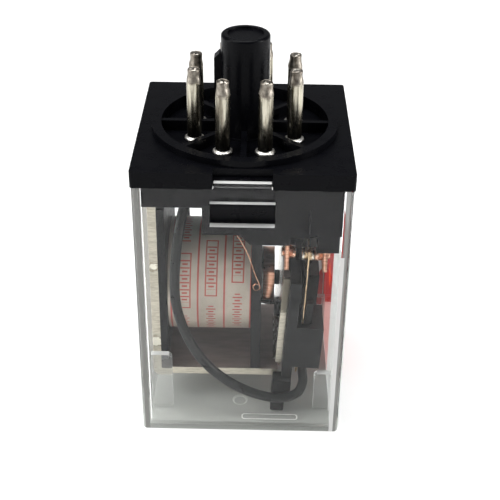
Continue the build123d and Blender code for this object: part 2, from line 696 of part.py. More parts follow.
# ---- contacts ----------------------------------------------------------------------------------------
def blade_solid():
    """Front pole's contact spring."""
    left = [(x - BLADE_THICK / 2, z) for x, z in BLADE_LINE]
    right = [(x + BLADE_THICK / 2, z) for x, z in reversed(BLADE_LINE)]
    return slab_xz(left + right, -POLE_Y - BLADE_WIDTH / 2, -POLE_Y + BLADE_WIDTH / 2)


def make_blade(blade):
    """The spring with its contact hole and rounded top corners."""
    spring = blade - rod_x(CONTACT_HOLE_R, CONTACT_X - CUT_PAST, CONTACT_X + CUT_PAST, -POLE_Y, CONTACT_Z)
    top = BLADE_LINE[-1][1]
    corners = [e for e in spring.edges()
               if abs(e.center().Z - top) < EDGE_TOLERANCE and e.length < 2 * BLADE_THICK]
    return fillet(corners, BLADE_ROUND)


def contact_head(radius, x0, x1, y, z, face_side):
    """Rivet head between x0 and x1, domed on one side."""
    head = rod_x(radius, x0, x1, y, z)
    face = head.faces().sort_by(Axis.X)[-1 if face_side > 0 else 0]
    return fillet(face.edges(), DOME)


def make_moving_contact():
    """Double-faced contact rivet, drawn on the contact's own axis and tilted with the blade."""
    inner = BLADE_THICK / 2 + BLADE_FACE_GAP
    outer = inner + CONTACT_HEAD
    rivet = rod_x(CONTACT_SHANK_R, -inner - JOIN_DEPTH, inner + JOIN_DEPTH)
    rivet += contact_head(CONTACT_R, -outer, -inner, 0, 0, -1)
    rivet += contact_head(CONTACT_R, inner, outer, 0, 0, 1)
    return Pos(CONTACT_X, -POLE_Y, CONTACT_Z) * Rot(0, CONTACT_TILT, 0) * rivet


def make_terminal(strip_x, bottom, pin_x, pin_y):
    """Fixed strip that rises through the base and ends in a round tail inside its pin."""
    half = STRIP_WIDTH / 2
    strip = block(strip_x, strip_x + STRIP_THICK, -POLE_Y - half, -POLE_Y + half, bottom, STRIP_TOP)
    lower = [e for e in strip.edges().filter_by(Axis.X) if e.center().Z < bottom + EDGE_TOLERANCE]
    strip = fillet(lower, STRIP_ROUND)
    x0, x1 = sorted((pin_x - TAIL_R, strip_x + STRIP_THICK / 2))
    y0 = min(pin_y - TAIL_R, -POLE_Y + half)
    y1 = max(pin_y + TAIL_R, -POLE_Y + half)
    shelf = block(x0, x1, y0, y1, STRIP_TOP - STRIP_THICK, STRIP_TOP)
    return strip + shelf + rod(TAIL_R, STRIP_TOP - JOIN_DEPTH, STRIP_TOP + TAIL_RISE, pin_x, pin_y)


def make_no_contact():
    """Fixed rivet of the normally open side, facing right."""
    y, z = -POLE_Y, NO_CONTACT_Z
    right = NO_STRIP_X + STRIP_THICK
    rivet = contact_head(CONTACT_R, right, NO_FACE_X, y, z, 1)
    rivet += rod_x(CONTACT_SHANK_R, NO_STRIP_X - JOIN_DEPTH, right + JOIN_DEPTH, y, z)
    return rivet + rod_x(RIVET_TAIL_R, NO_STRIP_X - RIVET_TAIL, NO_STRIP_X, y, z)


def make_nc_contact():
    """Fixed rivet of the normally closed side, facing left."""
    y, z = -POLE_Y, CONTACT_Z
    right = NC_STRIP_X + STRIP_THICK
    rivet = contact_head(CONTACT_R, NC_FACE_X, NC_STRIP_X, y, z, -1)
    rivet += rod_x(CONTACT_SHANK_R, NC_STRIP_X - JOIN_DEPTH, right + JOIN_DEPTH, y, z)
    return rivet + rod_x(RIVET_TAIL_R, right, right + RIVET_TAIL, y, z)


# ---- return spring, leads and label ------------------------------------------------------------------
def make_return_spring():
    """Close-wound tension spring as a tube, with a straight hook at each end."""
    body = rod_x(SPRING_R, SPRING_START, SPRING_END, 0, SPRING_Z) - rod_x(
        SPRING_R - 2 * SPRING_WIRE_R, SPRING_START + SPRING_CAP, SPRING_END - SPRING_CAP, 0, SPRING_Z)
    hooks = rod_x(SPRING_WIRE_R, SPRING_LEFT, SPRING_START + JOIN_DEPTH, 0, SPRING_Z)
    hooks += rod_x(SPRING_WIRE_R, SPRING_END - JOIN_DEPTH, SPRING_RIGHT, 0, SPRING_Z)
    return body + hooks


def make_label():
    """Sticker on the right face, wrapped round the corner on to the back face."""
    inner = COVER_WIDTH / 2
    outer = inner + LABEL_THICK
    side = block(inner, outer, -LABEL_FRONT, inner - COVER_CORNER, LABEL_BOTTOM, LABEL_TOP)
    back = block(inner - LABEL_BACK_REACH, inner - COVER_CORNER, inner, outer, LABEL_BOTTOM, LABEL_TOP)
    centre = inner - COVER_CORNER
    bend = rod(COVER_CORNER + LABEL_THICK, LABEL_BOTTOM, LABEL_TOP, centre, centre) - rod(
        COVER_CORNER, LABEL_BOTTOM - CUT_PAST, LABEL_TOP + CUT_PAST, centre, centre)
    bend = bend & block(centre, outer, centre, outer, LABEL_BOTTOM, LABEL_TOP)
    return side + back + bend


# ---- assembly ----------------------------------------------------------------------------------------
pins = [make_pin(i) for i in range(PIN_COUNT)]
yoke = make_yoke()
blade = blade_solid()
no_pin_x, no_pin_y = pin_place(2)
nc_pin_x, nc_pin_y = pin_place(3)
no_terminal = make_terminal(NO_STRIP_X, NO_STRIP_BOTTOM, no_pin_x, no_pin_y)
no_terminal -= rod_x(CONTACT_SHANK_R, 0, COVER_INSIDE, -POLE_Y, NO_CONTACT_Z)
nc_terminal = make_terminal(NC_STRIP_X, NC_STRIP_BOTTOM, nc_pin_x, nc_pin_y)
nc_terminal -= rod_x(CONTACT_SHANK_R, 0, COVER_INSIDE, -POLE_Y, CONTACT_Z)

held_by_base = [
    yoke,
    no_terminal,
    mirrored(no_terminal),
    nc_terminal,
    mirrored(nc_terminal),
]
for i in range(PIN_COUNT):
    pin_x, pin_y = pin_place(i)
    held_by_base.append(rod(PIN_SHANK_R, PIN_WELL_BOTTOM, DISH_FLOOR + CUT_PAST, pin_x, pin_y))
    held_by_base.append(rod(PIN_FLANGE_R + PIN_CLEARANCE, DISH_FLOOR, RING_TOP, pin_x, pin_y))

save(make_base(held_by_base), "base")
save(make_cover(), "cover")
save(make_label(), "label")
for i, pin in enumerate(pins):
    save(pin, f"pin_{i + 1}")
save(Compound([make_solder(i) for i in range(PIN_COUNT)]), "pin_solder")
save(yoke, "yoke")
save(make_core(), "core")
save(make_shading_ring(), "shading_ring")
save(make_bobbin(), "bobbin")
save(make_winding(), "coil_winding")
save(make_tape(), "coil_tape")

save(leaned(upright_armature()), "armature")
carrier = leaned(upright_carrier()) - blade - mirrored(blade)
save(carrier, "contact_carrier")
save(make_return_spring(), "return_spring")

lead = tube(LEAD_ROUTE, LEAD_R, "lead wire")
coil_lead = tube(COIL_LEAD_ROUTE, COIL_WIRE_R, "coil lead")
front_pieces = {
    "moving_blade": make_blade(blade),
    "moving_contact": make_moving_contact(),
    "no_terminal": no_terminal,
    "no_contact": make_no_contact(),
    "nc_terminal": nc_terminal,
    "nc_contact": make_nc_contact(),
    "lead_wire": lead,
    "coil_lead": coil_lead,
}
for name, piece in front_pieces.items():
    save(piece, f"{name}_front")
    save(mirrored(piece), f"{name}_rear")
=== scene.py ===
import json
import math

import bpy
from mathutils import Matrix, Vector, noise


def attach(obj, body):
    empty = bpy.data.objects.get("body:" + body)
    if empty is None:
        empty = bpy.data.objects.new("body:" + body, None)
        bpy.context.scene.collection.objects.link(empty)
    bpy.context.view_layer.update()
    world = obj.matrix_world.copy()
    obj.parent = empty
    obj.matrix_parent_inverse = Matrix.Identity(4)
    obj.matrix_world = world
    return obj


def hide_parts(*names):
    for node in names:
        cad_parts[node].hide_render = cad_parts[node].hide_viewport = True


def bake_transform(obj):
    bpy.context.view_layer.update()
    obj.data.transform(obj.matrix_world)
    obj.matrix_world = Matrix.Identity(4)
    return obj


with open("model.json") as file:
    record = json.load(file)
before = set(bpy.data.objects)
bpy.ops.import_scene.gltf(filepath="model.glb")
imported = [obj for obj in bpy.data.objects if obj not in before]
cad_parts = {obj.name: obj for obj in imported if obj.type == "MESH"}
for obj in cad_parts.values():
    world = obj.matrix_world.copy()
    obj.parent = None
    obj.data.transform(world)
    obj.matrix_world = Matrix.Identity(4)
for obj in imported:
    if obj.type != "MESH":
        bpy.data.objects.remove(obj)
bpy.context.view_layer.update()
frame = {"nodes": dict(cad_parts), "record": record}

# Looks of the plug-in relay: metres, in the CAD frame. Origin at the centre of the cover's closed end,
# +Z along the pins, +X from the yoke to the armature, poles mirrored in Y. Lengths written here are in
# millimetres and become metres through MM.

MM = 0.001
SCENE = bpy.context.scene

# ---- camera, light and floor -------------------------------------------------------------------------
CAMERA_AT = (2.2, -155.5, 125.0)
CAMERA_PITCH = 32.24
CAMERA_YAW = 0.39
CAMERA_ROLL = 0.81
CAMERA_LENS = 74.94
SENSOR = 36.0
LIT_POINT = (0, 0, 30)
HORIZON_LIGHT = 0.60
CEILING_LIGHT = 0.06
FRONT_SHARE = 0.3
FLOOR_DROP = 0.05
FLOOR_SIZE = 6


def add_camera():
    data = bpy.data.cameras.new("camera")
    data.lens = CAMERA_LENS
    data.sensor_width = SENSOR
    data.clip_start = 0.01
    data.clip_end = 20
    camera = bpy.data.objects.new("camera", data)
    SCENE.collection.objects.link(camera)
    turn = Matrix.Rotation(math.radians(CAMERA_YAW), 4, "Z")
    tilt = Matrix.Rotation(math.radians(90 - CAMERA_PITCH), 4, "X")
    roll = Matrix.Rotation(math.radians(CAMERA_ROLL), 4, "Z")
    camera.matrix_world = Matrix.Translation(Vector(CAMERA_AT) * MM) @ turn @ tilt @ roll
    SCENE.camera = camera


def add_softbox(name, at, width, height, power):
    """Soft rectangular lamp that faces the relay."""
    data = bpy.data.lights.new(name, "AREA")
    data.shape = "RECTANGLE"
    data.size = width * MM
    data.size_y = height * MM
    data.energy = power
    lamp = bpy.data.objects.new(name, data)
    SCENE.collection.objects.link(lamp)
    lamp.location = Vector(at) * MM
    lamp.rotation_euler = (Vector(LIT_POINT) - Vector(at)).to_track_quat("-Z", "Y").to_euler()


def add_lights():
    add_softbox("overhead", (-60, 160, 950), 800, 800, 11.0)
    add_softbox("key", (-420, -200, 520), 300, 300, 2.2)
    add_softbox("left strip", (-380, -60, 120), 70, 420, 0.7)
    add_softbox("right strip", (380, -60, 140), 70, 420, 1.8)
    add_softbox("front left strip", (-330, -330, 90), 45, 320, 0.30)
    add_softbox("front right strip", (350, -310, 90), 45, 320, 0.30)


def light_ramp(tree, along, start, end, strength_at_start, strength_at_end):
    """Strength that changes evenly while the direction goes from start to end."""
    ramp = tree.nodes.new("ShaderNodeMapRange")
    for slot, number in zip(ramp.inputs[1:5], (start, end, strength_at_start, strength_at_end)):
        slot.default_value = number
    tree.links.new(along, ramp.inputs["Value"])
    return ramp.outputs[0]


def add_world():
    """Pale surroundings at floor height that fall off to a dim ceiling and to a dim side at the front."""
    world = bpy.data.worlds.new("studio")
    world.use_nodes = True
    tree = world.node_tree
    back = tree.nodes["Background"]
    back.inputs["Color"].default_value = (0.97, 0.98, 1.0, 1)
    where = tree.nodes.new("ShaderNodeTexCoord")
    parts = tree.nodes.new("ShaderNodeSeparateXYZ")
    tree.links.new(where.outputs["Generated"], parts.inputs[0])
    strength = tree.nodes.new("ShaderNodeMath")
    strength.operation = "MULTIPLY"
    ceiling = light_ramp(tree, parts.outputs["Z"], 0.0, 0.5, HORIZON_LIGHT, CEILING_LIGHT)
    front = light_ramp(tree, parts.outputs["Y"], -0.9, -0.1, FRONT_SHARE, 1.0)
    tree.links.new(ceiling, strength.inputs[0])
    tree.links.new(front, strength.inputs[1])
    tree.links.new(strength.outputs[0], back.inputs["Strength"])
    SCENE.world = world


# ---- shader helper -----------------------------------------------------------------------------------
class Shader:
    """Node material with short calls for the nodes used here. Its coordinates are in millimetres."""

    def __init__(self, name, color, roughness, metallic=0.0):
        self.material = bpy.data.materials.new(name)
        self.material.use_nodes = True
        self.tree = self.material.node_tree
        self.out = self.find("BSDF_PRINCIPLED")
        self.set("Base Color", (*color, 1))
        self.set("Roughness", roughness)
        self.set("Metallic", metallic)
        coordinate = self.node("ShaderNodeTexCoord")
        scale = self.node("ShaderNodeVectorMath", operation="SCALE")
        scale.inputs["Scale"].default_value = 1 / MM
        self.link(coordinate.outputs["Object"], scale.inputs[0])
        self.place = scale.outputs[0]

    def find(self, kind):
        return next(n for n in self.tree.nodes if n.type == kind)

    def node(self, kind, **settings):
        made = self.tree.nodes.new(kind)
        for key, value in settings.items():
            setattr(made, key, value)
        return made

    def link(self, source, target):
        self.tree.links.new(source, target)

    def feed(self, slot, value):
        """Links a socket, or sets a number or a colour."""
        if hasattr(value, "is_output"):
            self.link(value, slot)
        elif isinstance(value, tuple) and len(value) == 3 and slot.type == "RGBA":
            slot.default_value = (*value, 1)
        else:
            slot.default_value = value

    def set(self, socket, value):
        self.feed(self.out.inputs[socket], value)

    def math(self, operation, *values):
        made = self.node("ShaderNodeMath", operation=operation)
        for slot, value in zip(made.inputs, values):
            self.feed(slot, value)
        return made.outputs[0]

    def split(self, vector):
        parts = self.node("ShaderNodeSeparateXYZ")
        self.link(vector, parts.inputs[0])
        return parts.outputs[0], parts.outputs[1], parts.outputs[2]

    def axes(self):
        return self.split(self.place)

    def facing(self):
        """Parts of the surface normal."""
        return self.split(self.node("ShaderNodeNewGeometry").outputs["Normal"])

    def stretched(self, scale):
        made = self.node("ShaderNodeVectorMath", operation="MULTIPLY")
        self.link(self.place, made.inputs[0])
        made.inputs[1].default_value = scale
        return made.outputs[0]

    def noise(self, scale, detail=3.0, stretch=None):
        made = self.node("ShaderNodeTexNoise")
        made.inputs["Scale"].default_value = scale
        made.inputs["Detail"].default_value = detail
        self.link(self.stretched(stretch) if stretch else self.place, made.inputs["Vector"])
        return made.outputs["Fac"]

    def specks(self, spacing, radius, share):
        """1 inside small spots, one in some of the cells of a scattered grid."""
        cells = self.node("ShaderNodeTexVoronoi")
        cells.inputs["Scale"].default_value = 1 / spacing
        self.link(self.place, cells.inputs["Vector"])
        near = self.math("LESS_THAN", cells.outputs["Distance"], radius / spacing)
        red, _, _ = self.split(cells.outputs["Color"])
        return self.math("MULTIPLY", near, self.math("LESS_THAN", red, share))

    def ramp(self, value, low, high, out_low=0.0, out_high=1.0):
        made = self.node("ShaderNodeMapRange")
        for slot, number in zip(made.inputs[1:5], (low, high, out_low, out_high)):
            slot.default_value = number
        self.link(value, made.inputs["Value"])
        return made.outputs[0]

    def mix(self, fac, a, b):
        made = self.node("ShaderNodeMix", data_type="RGBA")
        for slot, value in zip((made.inputs[0], made.inputs[6], made.inputs[7]), (fac, a, b)):
            self.feed(slot, value)
        return made.outputs[2]

    def bump(self, height, strength, distance):
        made = self.node("ShaderNodeBump")
        made.inputs["Strength"].default_value = strength
        made.inputs["Distance"].default_value = distance * MM
        self.link(height, made.inputs["Height"])
        self.link(made.outputs[0], self.out.inputs["Normal"])

    def both(self, first, second):
        """1 where both tests are 1."""
        return self.math("MULTIPLY", first, second)

    def band(self, value, low, high):
        """1 where value lies between low and high."""
        return self.both(self.math("GREATER_THAN", value, low), self.math("LESS_THAN", value, high))

    def distance(self, u, v, centre_u, centre_v):
        """Distance from a centre in the plane of two coordinates."""
        du = self.math("POWER", self.math("SUBTRACT", u, centre_u), 2.0)
        dv = self.math("POWER", self.math("SUBTRACT", v, centre_v), 2.0)
        return self.math("SQRT", self.math("ADD", du, dv))

    def haze(self, where, share, color):
        """Matt colour over a share of the surface, where the test is 1."""
        self.mix_with(self.math("MULTIPLY", where, share), self.matt(color))

    def mottle(self, light, dark, scale, low=0.35, high=0.7, stretch=None):
        """Base colour that wanders between two tones."""
        self.set("Base Color", self.mix(self.ramp(self.noise(scale, 4, stretch), low, high), light, dark))

    def polish(self, scale, smooth, rough, stretch=None):
        """Roughness that wanders between two values."""
        self.set("Roughness", self.ramp(self.noise(scale, 3, stretch), 0.3, 0.7, smooth, rough))

    def matt(self, color):
        made = self.node("ShaderNodeBsdfDiffuse")
        self.feed(made.inputs["Color"], color)
        return made

    def gloss(self, color, roughness):
        made = self.node("ShaderNodeBsdfAnisotropic")
        self.feed(made.inputs["Color"], color)
        made.inputs["Roughness"].default_value = roughness
        return made

    def see_through(self, color):
        made = self.node("ShaderNodeBsdfTransparent")
        self.feed(made.inputs["Color"], color)
        return made

    def refracting(self, color, ior):
        made = self.node("ShaderNodeBsdfRefraction")
        self.feed(made.inputs["Color"], color)
        made.inputs["Roughness"].default_value = 0.0
        made.inputs["IOR"].default_value = ior
        return made

    def mix_with(self, fac, other):
        """Output becomes what it was, with the other shader over it by a share."""
        surface = self.find("OUTPUT_MATERIAL").inputs["Surface"]
        before = surface.links[0].from_socket
        made = self.node("ShaderNodeMixShader")
        self.feed(made.inputs[0], fac)
        self.link(before, made.inputs[1])
        self.link(other.outputs[0], made.inputs[2])
        self.link(made.outputs[0], surface)


# ---- materials ---------------------------------------------------------------------------------------
def base_plastic():
    """Near-black moulding with some dust."""
    s = Shader("base_plastic", (0.0055, 0.0058, 0.0070), 0.38)
    dust = s.specks(2.6, 0.075, 0.22)
    s.set("Base Color", s.mix(dust, (0.0020, 0.0021, 0.0030), (0.16, 0.16, 0.15)))
    s.set("Specular IOR Level", 0.06)
    s.polish(0.5, 0.24, 0.36)
    s.bump(s.noise(2.2, 3), 0.10, 0.02)
    return s.material


def inner_plastic():
    s = Shader("inner_plastic", (0.005, 0.0055, 0.0060), 0.42)
    s.set("Specular IOR Level", 0.2)
    s.polish(0.8, 0.36, 0.52)
    s.bump(s.noise(3.0, 3), 0.10, 0.015)
    return s.material


# The cover's walls: the label is bonded outside the right one.
COVER_IOR = 1.41
LABEL_WALL = 15.0
LABEL_WALL_MIDDLE = 16.4
WALL_INSIDE = 15.85
# Edges of a pale band on the cover's front face, a painted reflection of the label.
LABEL_REFLECTION_START = 15.55
LABEL_REFLECTION_END = 16.2
LABEL_TOP = 36.5
COVER_FLOOR = 1.3
RIB_INNER_X = 12.0
RIB_NEAR_Y = 11.1
RIB_FAR_Y = 12.5
RIB_TOP = 13.3
RAISED_FLOOR = 1.38
EJECTOR_FLOOR = 1.0
NEAR_FLOOR = 2.0
EJECTOR_AT = (-0.2, -9.8)
EJECTOR_INNER = 1.08
EJECTOR_OUTER = 1.32
FLAT_ON = 0.9


def floor_marks(s, x, y, z):
    """1 on the raised outline on the cover's floor and round the ejector mark."""
    raised = s.band(z, RAISED_FLOOR, NEAR_FLOOR)
    rim = s.band(s.distance(x, y, *EJECTOR_AT), EJECTOR_INNER, EJECTOR_OUTER)
    ejector = s.both(rim, s.band(z, EJECTOR_FLOOR, NEAR_FLOOR))
    _, _, facing_up = s.facing()
    return s.both(s.math("MAXIMUM", raised, ejector), s.math("GREATER_THAN", facing_up, FLAT_ON))


def stop_ribs(s, x, y, z):
    """1 on the four upright ribs inside the cover."""
    beside = s.band(s.math("ABSOLUTE", x), RIB_INNER_X, WALL_INSIDE)
    along = s.band(s.math("ABSOLUTE", y), RIB_NEAR_Y, RIB_FAR_Y)
    return s.both(s.both(beside, along), s.math("LESS_THAN", z, RIB_TOP))


def clear_plastic():
    """Clear moulding. Painted light sits on some faces: pale matt on its upward faces is a painted
    reflection, grey matt on its floor is painted shade, pale lines on the floor's raised marks are painted
    highlights, grey matt at the front ends of the floor and side walls is painted shade, a pale band beside
    the label on the front face is a painted reflection of the label, and a little pale matt on the ribs is
    painted light. It is glossy where its left wall is seen edge-on. The label is bonded to the right wall,
    so nothing mirrors there. Lamps shine straight through, so that the parts inside are lit."""
    s = Shader("clear_plastic", (0.955, 0.96, 0.955), 0.02)
    s.set("Transmission Weight", 1.0)
    s.set("IOR", COVER_IOR)
    s.set("Specular Tint", (0.42, 0.42, 0.42))
    s.bump(s.noise(0.10, 2), 0.10, 0.20)
    x, y, z = s.axes()
    from_middle = s.math("ABSOLUTE", x)
    sideways, frontways, facing_up = s.facing()
    side = s.math("GREATER_THAN", s.math("ABSOLUTE", sideways), FLAT_ON)
    front = s.math("GREATER_THAN", s.math("ABSOLUTE", frontways), FLAT_ON)
    upward = s.math("GREATER_THAN", facing_up, FLAT_ON)
    right_inside = s.both(side, s.band(x, LABEL_WALL, LABEL_WALL_MIDDLE))
    right_outside = s.both(side, s.math("GREATER_THAN", x, LABEL_WALL_MIDDLE))
    s.mix_with(s.math("MULTIPLY", right_inside, 0.75), s.refracting((0.97, 0.97, 0.97), COVER_IOR))
    s.mix_with(s.math("MULTIPLY", right_outside, 0.9), s.see_through((0.97, 0.97, 0.97)))
    left = s.both(side, s.math("LESS_THAN", x, -LABEL_WALL))
    edge_on = s.math("POWER", s.node("ShaderNodeLayerWeight").outputs["Facing"], 4.0)
    sheen = s.math("MULTIPLY", edge_on, 0.85)
    s.mix_with(s.math("MULTIPLY", left, sheen), s.gloss((0.55, 0.55, 0.53), 0.5))
    floor_end_painted_shade = s.both(front, s.math("LESS_THAN", z, COVER_FLOOR))
    wall_end_painted_shade = s.both(front, s.math("GREATER_THAN", from_middle, WALL_INSIDE))
    label_painted_reflection = s.both(s.band(x, LABEL_REFLECTION_START, LABEL_REFLECTION_END), s.math("LESS_THAN", z, LABEL_TOP))
    floor = s.both(upward, s.math("LESS_THAN", z, NEAR_FLOOR))
    # Grey matt at the front ends of the floor and the side walls is painted shade, in place of the look
    # into the plastic edge-on.
    s.haze(floor_end_painted_shade, 0.45, (0.15, 0.16, 0.15))
    s.haze(wall_end_painted_shade, 0.85, (0.21, 0.21, 0.20))
    # The pale band on the front face beside the label is a painted reflection of the label seen down the
    # right wall.
    s.haze(s.both(front, label_painted_reflection), 0.9, (0.64, 0.64, 0.63))
    # Pale matt on the ribs is painted light, standing in for light seen down their length.
    s.haze(stop_ribs(s, x, y, z), 0.10, (0.60, 0.60, 0.59))
    # Pale matt on the faces that look up is a painted reflection.
    s.haze(upward, 0.5, (0.80, 0.80, 0.79))
    # Grey matt on the cover's floor is painted shade.
    s.haze(floor, 0.80, (0.31, 0.32, 0.30))
    # Pale matt on the floor's raised outline and ejector rim is a painted highlight.
    s.haze(floor_marks(s, x, y, z), 0.75, (0.92, 0.92, 0.90))
    rays = s.node("ShaderNodeLightPath")
    s.mix_with(rays.outputs["Is Shadow Ray"], s.see_through((0.82, 0.825, 0.82)))
    return s.material


FLANGE_TOP = 50.9
TIP_STAIN = (60.9, 61.4)


def pin_nickel():
    """Nickel with a warm cast, dull over the soldered tip. Its dark upright streaks are painted reflection,
    and its pale flange is a painted highlight.
    """
    s = Shader("pin_nickel", (0.72, 0.69, 0.61), 0.14, 1.0)
    _, _, z = s.axes()
    flange = s.math("LESS_THAN", z, FLANGE_TOP)
    edge = s.math("ADD", z, s.math("MULTIPLY", s.noise(0.7, 3), 2.2))
    tip = s.ramp(edge, *TIP_STAIN)
    # Dark upright streaks on the pin body are painted reflection of dim surroundings.
    painted_reflection_streak = s.ramp(s.noise(1.5, 3, (1.0, 1.0, 0.10)), 0.40, 0.60)
    clean = s.mix(painted_reflection_streak, (0.56, 0.53, 0.43), (0.17, 0.15, 0.115))
    # The pale flange colour is a painted highlight.
    clean = s.mix(flange, clean, (0.86, 0.84, 0.79))
    dull = s.mix(s.ramp(s.noise(1.6, 4), 0.35, 0.7), (0.30, 0.275, 0.235), (0.13, 0.11, 0.09))
    s.set("Base Color", s.mix(tip, clean, dull))
    dull_foot = s.ramp(flange, 0, 1, 0.17, 0.34)
    smooth = s.math("MAXIMUM", dull_foot, s.ramp(tip, 0, 1, 0.17, 0.36))
    s.set("Roughness", s.math("ADD", smooth, s.ramp(s.noise(2.0, 3), 0.3, 0.7, 0.0, 0.08)))
    s.bump(s.noise(1.4, 3, (1.0, 1.0, 0.3)), 0.35, 0.05)
    return s.material


def solder():
    s = Shader("solder", (0.55, 0.53, 0.50), 0.3, 1.0)
    s.mottle((0.38, 0.36, 0.32), (0.19, 0.165, 0.14), 1.3)
    s.polish(1.6, 0.16, 0.42)
    s.bump(s.noise(1.3, 3), 0.6, 0.10)
    return s.material


ARMATURE_LEFT = 5.0
ARMATURE_SHADE_LINE = (21.6, 22.2)
FACES = 0.8
# Pale spots on the yoke's upright, painted highlights with painted shade round them: x, z and radius.
PAINTED_GLINTS = ((-14.85, 29.8, 0.75), (-14.85, 14.3, 1.1))


def distance_past_painted_glints(s):
    """Distance past the edge of the nearer of two painted highlight spots on the front of the yoke's
    upright.
    """
    x, _, z = s.axes()
    rough = s.ramp(s.noise(1.8, 3), 0.3, 0.7, -0.3, 0.3)
    nearest = None
    for spot_x, spot_z, radius in PAINTED_GLINTS:
        past = s.math("SUBTRACT", s.distance(x, z, spot_x, spot_z), radius)
        nearest = past if nearest is None else s.math("MINIMUM", nearest, past)
    return s.math("ADD", nearest, rough)


def sheared_edge(s, ticks):
    """Beige edge with fine ticks, darker as painted shade on the armature's upper half, and on the yoke
    with two pale spots of painted highlight ringed by painted shade.
    """
    x, _, z = s.axes()
    edge = s.mix(s.ramp(ticks, 0.4, 0.7), (0.64, 0.60, 0.50), (0.44, 0.40, 0.32))
    # The darker upper half of the armature's edge is painted shade.
    wander = s.math("ADD", z, s.math("MULTIPLY", s.noise(1.2, 3), 2.0))
    upper_painted_shade = s.both(s.ramp(wander, *ARMATURE_SHADE_LINE), s.math("GREATER_THAN", x, ARMATURE_LEFT))
    edge = s.mix(upper_painted_shade, edge, (0.17, 0.15, 0.115))
    past_spot = distance_past_painted_glints(s)
    # A darker rim of painted shade, and a pale painted highlight inside it.
    edge = s.mix(s.ramp(past_spot, 0.0, 0.35, 1.0, 0.0), edge, (0.30, 0.26, 0.19))
    return s.mix(s.ramp(past_spot, -0.25, 0.0, 1.0, 0.0), edge, (0.90, 0.87, 0.76))


def plated_steel():
    """Plated sheet. The front and back edges are sheared, and the faces that look up are painted brown, a
    painted reflection of the parts above them.
    """
    s = Shader("plated_steel", (0.62, 0.59, 0.52), 0.3, 1.0)
    grain = s.noise(0.8, 3, (0.25, 1.0, 1.0))
    face = s.mix(s.ramp(grain, 0.35, 0.7), (0.66, 0.62, 0.57), (0.54, 0.50, 0.45))
    _, side, upward = s.facing()
    sheared = s.math("GREATER_THAN", s.math("ABSOLUTE", side), FACES)
    shelf_painted_reflection = s.math("GREATER_THAN", upward, FACES)
    ticks = s.noise(5.0, 3, (0.15, 1.0, 1.0))
    edge = sheared_edge(s, ticks)
    # Brown on the faces that look up is a painted reflection.
    painted_reflection_brown = s.mix(s.ramp(grain, 0.3, 0.7), (0.23, 0.185, 0.17), (0.17, 0.135, 0.125))
    s.set("Base Color", s.mix(shelf_painted_reflection, s.mix(sheared, face, edge), painted_reflection_brown))
    s.set("Metallic", s.ramp(shelf_painted_reflection, 0, 1, 1.0, 0.45))
    dull = s.math("MULTIPLY", s.math("MAXIMUM", sheared, shelf_painted_reflection), 0.16)
    s.set("Roughness", s.math("ADD", s.ramp(grain, 0.3, 0.8, 0.20, 0.32), dull))
    s.bump(s.math("MULTIPLY", ticks, sheared), 0.3, 0.03)
    return s.material


def core_steel():
    s = Shader("core_steel", (0.52, 0.50, 0.47), 0.32, 1.0)
    s.mottle((0.56, 0.54, 0.51), (0.38, 0.35, 0.32), 1.2)
    s.polish(2.0, 0.24, 0.42)
    return s.material


def copper():
    """Stamped ring with fine lines across its edge."""
    s = Shader("copper", (0.80, 0.44, 0.30), 0.3, 1.0)
    s.mottle((0.84, 0.49, 0.34), (0.52, 0.23, 0.15), 1.4, stretch=(0.3, 0.3, 2.6))
    s.polish(2.5, 0.26, 0.42)
    s.bump(s.noise(1.6, 2, (0.2, 0.2, 3.0)), 0.22, 0.03)
    return s.material


def contact_copper():
    s = Shader("contact_copper", (0.86, 0.54, 0.40), 0.25, 1.0)
    s.mottle((0.90, 0.58, 0.43), (0.68, 0.36, 0.24), 1.4)
    s.polish(2.5, 0.16, 0.34)
    s.bump(s.noise(3.0, 3), 0.2, 0.02)
    return s.material


def contact_silver():
    s = Shader("contact_silver", (0.80, 0.77, 0.68), 0.2, 1.0)
    s.mottle((0.84, 0.81, 0.74), (0.58, 0.52, 0.40), 1.2)
    s.polish(2.0, 0.12, 0.32)
    return s.material


def spring_bronze():
    s = Shader("spring_bronze", (0.70, 0.52, 0.33), 0.28, 1.0)
    s.mottle((0.74, 0.56, 0.36), (0.52, 0.34, 0.20), 0.8, stretch=(1.0, 1.0, 0.3))
    s.polish(2.0, 0.18, 0.36, (1.0, 1.0, 0.2))
    return s.material


def magnet_wire():
    s = Shader("magnet_wire", (0.62, 0.28, 0.15), 0.25, 1.0)
    s.mottle((0.74, 0.42, 0.28), (0.50, 0.24, 0.14), 1.0)
    s.set("Coat Weight", 0.5)
    return s.material


def lead_insulation():
    s = Shader("lead_insulation", (0.006, 0.007, 0.007), 0.35)
    s.set("Specular IOR Level", 0.3)
    s.polish(0.9, 0.26, 0.44)
    s.bump(s.noise(1.5, 3), 0.15, 0.04)
    return s.material


def spring_steel():
    s = Shader("spring_steel", (0.60, 0.60, 0.58), 0.22, 1.0)
    s.polish(3.0, 0.14, 0.30)
    return s.material


TAPE_AXIS_Z = 22.5
TAPE_R = 9.9
LINE_PITCH = 4.5
LINE_FIRST = -11.9
LINE_HALF = 0.15
SLANT = 0.013
ROW_PITCH = 22.4
ROW_START = 9.1
ROW_SHIFT = -2.5
BOX_LENGTH = 10.0
BOX_HALF = 1.06
BOX_LINE = 0.22
PLAIN_START = 11.9
PLAIN_LENGTH = 8.7
BAR_PITCH = 1.25
BAR_MARGIN = 1.2
LONG_BAR_HALF = 0.80
SHORT_BAR_HALF = 0.46
WHOLE_TURNS = 8.0


